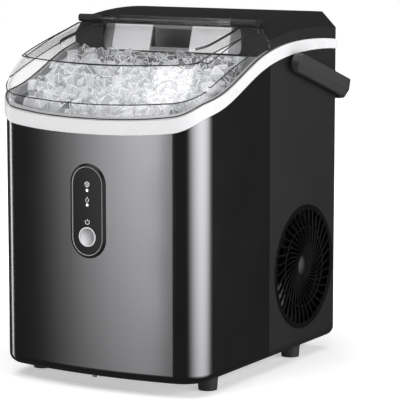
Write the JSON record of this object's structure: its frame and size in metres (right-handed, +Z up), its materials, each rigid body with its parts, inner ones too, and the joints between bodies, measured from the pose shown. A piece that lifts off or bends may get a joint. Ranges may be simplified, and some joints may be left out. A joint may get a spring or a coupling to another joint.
{
  "type": "countertop ice maker",
  "caption": "Free-standing countertop nugget ice maker with a clear hinged lid, round side vent and fold-down carry handle.",
  "frame": {"origin": "on the floor, under the middle of the bounding box with the lid closed and the carry handle stowed", "axes": "+Z up, front (control panel) towards -Y, side vent on +X"},
  "size_m": [0.256, 0.3202, 0.3572],
  "materials": {
    "front_skin": "glossy metallic charcoal",
    "black_plastic": "satin",
    "grey_plastic": "satin",
    "white_trim": "pearl",
    "white_plastic": "satin",
    "clear_lid": "clear acrylic, glossy",
    "clear_basket": "smoked clear acrylic",
    "silver_trim": "polished",
    "spun_metal": "spun",
    "led_lens": "clear lens",
    "circuit_board": "satin",
    "steel": "plain",
    "bright_steel": "polished",
    "zinc_sheet": "zinc plated",
    "aluminium": "plain",
    "cast_alloy": "cast",
    "copper": "copper tube",
    "black_enamel": "black enamel",
    "foam": "closed-cell foam",
    "rubber": "matte",
    "silicone": "translucent silicone"
  },
  "bodies": {
    "body": {"base_tray": "grey_plastic", "front_shell": "front_skin", "rear_shell": "black_plastic", "trim_band": "white_trim", "rear_cover": "black_plastic", "lid_hinge_pin_left": "steel", "lid_hinge_pin_right": "steel", "handle_pivot_left": "black_plastic", "handle_pivot_right": "black_plastic", "panel_bezel": "silver_trim", "panel_insert": "black_plastic", "led_ice_full": "led_lens", "led_add_water": "led_lens", "button_ring": "silver_trim", "panel_board": "circuit_board", "side_vent_grille": "black_plastic", "fan_shroud": "grey_plastic", "fan_motor": "steel", "condenser_fins": "aluminium", "condenser_tube": "copper", "compressor": "black_enamel", "discharge_pipe": "copper", "suction_pipe": "copper", "compressor_grommets": "rubber", "compressor_bolts": "steel", "divider_panel": "zinc_sheet", "motor_bracket": "zinc_sheet", "gearbox": "cast_alloy", "drive_motor": "steel", "evaporator_cylinder": "steel", "evaporator_coil": "copper", "insulation_jacket": "foam", "extruder_head": "grey_plastic", "ice_chute": "grey_plastic", "chute_guard_left": "bright_steel", "chute_guard_right": "bright_steel", "inner_liner": "white_plastic", "ice_basket": "clear_basket", "water_tank": "white_plastic", "float_stem": "white_plastic", "water_pump": "grey_plastic", "water_hose": "silicone", "drain_spout": "white_plastic", "control_board": "circuit_board", "ir_sensor_left": "grey_plastic", "ir_sensor_right": "grey_plastic", "cord_gland": "rubber", "cover_screws": "steel", "base_screws": "steel", "foot_front_left": "rubber", "foot_front_right": "rubber", "foot_rear_left": "rubber", "foot_rear_right": "rubber"},
    "lid_body": {"lid": "clear_lid"},
    "handle_body": {"carry_handle": "black_plastic"},
    "button_body": {"power_button": "spun_metal"},
    "fan_body": {"fan_blades": "black_plastic"},
    "auger_body": {"auger": "steel"},
    "float_body": {"float_ring": "white_plastic"},
    "drain_cap_body": {"drain_cap": "rubber"}
  },
  "joints": [
    {"name": "lid_hinge", "type": "hinge", "parent": "body", "child": "lid_body", "pos_m": [0, -0.013, 0.35], "axis": [-1, 0, 0], "range_deg": [0, 100]},
    {"name": "handle_swing", "type": "hinge", "parent": "body", "child": "handle_body", "pos_m": [0, 0.04, 0.3085], "axis": [1, 0, 0], "range_deg": [0, 107]},
    {"name": "button_press", "type": "slide", "parent": "body", "child": "button_body", "axis": [0, 1, 0], "range_m": [0, 0.0015], "stiffness_N_per_m": 1000},
    {"name": "fan_spin", "type": "hinge", "parent": "body", "child": "fan_body", "pos_m": [0.091, 0.0685, 0.097], "axis": [1, 0, 0], "continuous": true},
    {"name": "auger_spin", "type": "hinge", "parent": "body", "child": "auger_body", "pos_m": [-0.0035, 0.035, 0.24], "axis": [0, 0, 1], "continuous": true},
    {"name": "float_rise", "type": "slide", "parent": "body", "child": "float_body", "axis": [0, 0, 1], "range_m": [0, 0.07]},
    {"name": "drain_cap_pull", "type": "slide", "parent": "body", "child": "drain_cap_body", "axis": [-1, 0, 0], "range_m": [0, 0.011]}
  ]
}
